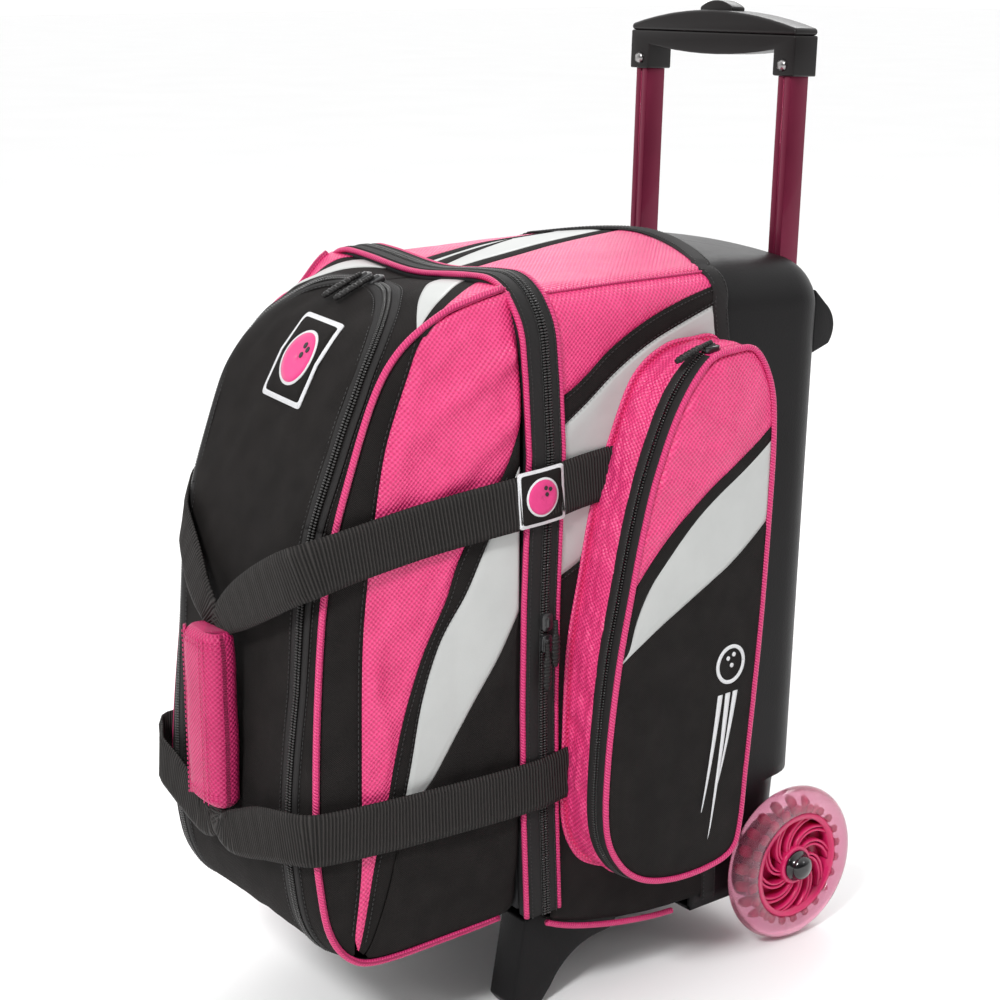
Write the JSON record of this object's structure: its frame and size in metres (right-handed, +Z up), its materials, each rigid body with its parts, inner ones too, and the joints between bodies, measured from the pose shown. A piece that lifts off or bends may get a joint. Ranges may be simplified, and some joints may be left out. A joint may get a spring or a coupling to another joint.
{
  "type": "wheeled bowling ball bag",
  "caption": "Wheeled bag for bowling balls with a front shoe compartment, side pockets, carry loops and a telescoping pull handle.",
  "frame": {"origin": "on the floor, under the middle of the bag's overall box", "axes": "+X across the bag towards the side with the main zipper's sliders, -Y the front with the carry grip, +Z up"},
  "size_m": [0.352, 0.52, 0.7343],
  "materials": {
    "fabric_black": "matt woven polyester",
    "fabric_pink": "satin diamond-weave nylon",
    "webbing": "ribbed webbing",
    "foam": "cloth-covered foam",
    "board": "matt board",
    "shell_plastic": "fine-grained moulded plastic",
    "grip_plastic": "satin moulded plastic",
    "tube_anodised": "burgundy anodised",
    "tube_plain": "mill",
    "tyre_clear": "clear urethane",
    "hub_plastic": "gloss moulded",
    "steel": "bright",
    "nut_black": "black oxide",
    "zip_metal": "gloss black enamel",
    "pull_tab": "cord and moulded end"
  },
  "bodies": {
    "bag": {"side_panel_left": "fabric_black", "side_panel_right": "fabric_black", "top_panel": "fabric_pink", "base_board": "board", "body_rim": "fabric_black", "ball_seat": "foam", "ball_divider": "foam", "back_shell": "shell_plastic", "rear_liner": "board", "outer_tube_left": "tube_plain", "outer_tube_right": "tube_plain", "axle": "steel", "axle_nut_left": "nut_black", "axle_nut_right": "nut_black", "kick_foot_left": "shell_plastic", "kick_foot_right": "shell_plastic", "rear_bumper_left": "shell_plastic", "rear_bumper_right": "shell_plastic", "pocket_gusset_left": "fabric_pink", "pocket_gusset_right": "fabric_pink", "slider_main_low": "zip_metal", "slider_main_high": "zip_metal", "slider_pocket_left": "zip_metal", "slider_pocket_right": "zip_metal"},
    "handle": {"inner_tube_left": "tube_anodised", "inner_tube_right": "tube_anodised", "grip_lower": "grip_plastic", "grip_upper": "grip_plastic"},
    "button": {"release_button": "grip_plastic"},
    "wheel_left": {"tyre_left": "tyre_clear", "hub_left": "hub_plastic", "bearings_left": "steel"},
    "wheel_right": {"tyre_right": "tyre_clear", "hub_right": "hub_plastic", "bearings_right": "steel"},
    "lid": {"lid_tub": "fabric_black", "lid_board": "board", "lid_rim": "fabric_black"},
    "flap": {"front_flap": "fabric_black", "slider_flap_left": "zip_metal", "slider_flap_right": "zip_metal"},
    "door_left": {"pocket_door_left": "fabric_black"},
    "door_right": {"pocket_door_right": "fabric_black"},
    "loop_left": {"strap_upper_left": "webbing", "strap_lower_left": "webbing", "loop_core_left": "webbing"},
    "loop_right": {"strap_upper_right": "webbing", "strap_lower_right": "webbing", "carry_grip": "fabric_pink"},
    "pull_main_low": {"pull_main_low": "pull_tab"},
    "pull_main_high": {"pull_main_high": "pull_tab"},
    "pull_flap_left": {"pull_flap_left": "pull_tab"},
    "pull_flap_right": {"pull_flap_right": "pull_tab"},
    "pull_pocket_left": {"pull_pocket_left": "pull_tab"},
    "pull_pocket_right": {"pull_pocket_right": "pull_tab"}
  },
  "joints": [
    {"name": "handle_slide", "type": "slide", "parent": "bag", "child": "handle", "axis": [0, 0.032, 0.9995], "range_m": [-0.126, 0.18]},
    {"name": "button_press", "type": "slide", "parent": "handle", "child": "button", "axis": [0, 0.032, 0.9995], "range_m": [-0.004, 0], "stiffness_N_per_m": 400, "springref_m": 0.001},
    {"name": "lid_hinge", "type": "hinge", "parent": "bag", "child": "lid", "pos_m": [0, -0.05, 0.084], "axis": [1, 0, 0], "range_deg": [0, 80], "deforming": ["strap_upper_left", "strap_lower_left", "strap_upper_right", "strap_lower_right", "loop_core_left", "carry_grip"]},
    {"name": "flap_hinge", "type": "hinge", "parent": "lid", "child": "flap", "pos_m": [0, -0.2094, 0.402], "axis": [1, 0, 0], "range_deg": [0, 110]},
    {"name": "wheel_left_spin", "type": "hinge", "parent": "bag", "child": "wheel_left", "pos_m": [-0.136, 0.1965, 0.0635], "axis": [1, 0, 0], "continuous": true},
    {"name": "door_left_hinge", "type": "hinge", "parent": "bag", "child": "door_left", "pos_m": [-0.1765, 0.1225, 0.3], "axis": [0, 0, -1], "range_deg": [0, 100]},
    {"name": "loop_left_swing", "type": "hinge", "parent": "bag", "child": "loop_left", "pos_m": [-0.127, -0.023, 0.305], "axis": [0, -0.154, -0.9881], "range_deg": [0, 68]},
    {"name": "wheel_right_spin", "type": "hinge", "parent": "bag", "child": "wheel_right", "pos_m": [0.136, 0.1965, 0.0635], "axis": [1, 0, 0], "continuous": true},
    {"name": "door_right_hinge", "type": "hinge", "parent": "bag", "child": "door_right", "pos_m": [0.1765, 0.1225, 0.3], "axis": [0, 0, 1], "range_deg": [0, 100]},
    {"name": "loop_right_swing", "type": "hinge", "parent": "bag", "child": "loop_right", "pos_m": [0.127, -0.023, 0.305], "axis": [0, 0.154, 0.9881], "range_deg": [0, 68]},
    {"name": "pull_main_low_swing", "type": "hinge", "parent": "bag", "child": "pull_main_low", "pos_m": [0.1335, -0.05315, 0.3], "axis": [0, -1, 0], "range_deg": [0, 90]},
    {"name": "pull_main_high_swing", "type": "hinge", "parent": "bag", "child": "pull_main_high", "pos_m": [0.1335, -0.04585, 0.316], "axis": [0, -1, 0], "range_deg": [0, 90]},
    {"name": "pull_flap_left_swing", "type": "hinge", "parent": "flap", "child": "pull_flap_left", "pos_m": [-0.008, -0.1218, 0.5536], "axis": [-1, 0, 0], "range_deg": [0, 120]},
    {"name": "pull_flap_right_swing", "type": "hinge", "parent": "flap", "child": "pull_flap_right", "pos_m": [0.008, -0.1218, 0.5536], "axis": [-1, 0, 0], "range_deg": [0, 120]},
    {"name": "pull_pocket_left_swing", "type": "hinge", "parent": "bag", "child": "pull_pocket_left", "pos_m": [-0.1602, 0.0697, 0.5077], "axis": [-1, 0, 0], "range_deg": [0, 120]},
    {"name": "pull_pocket_right_swing", "type": "hinge", "parent": "bag", "child": "pull_pocket_right", "pos_m": [0.1602, 0.0697, 0.5077], "axis": [-1, 0, 0], "range_deg": [0, 120]}
  ],
  "couplings": [
    {"joint": "loop_left_swing", "follows": "lid_hinge", "ratio": 0.85},
    {"joint": "loop_right_swing", "follows": "lid_hinge", "ratio": 0.85}
  ]
}
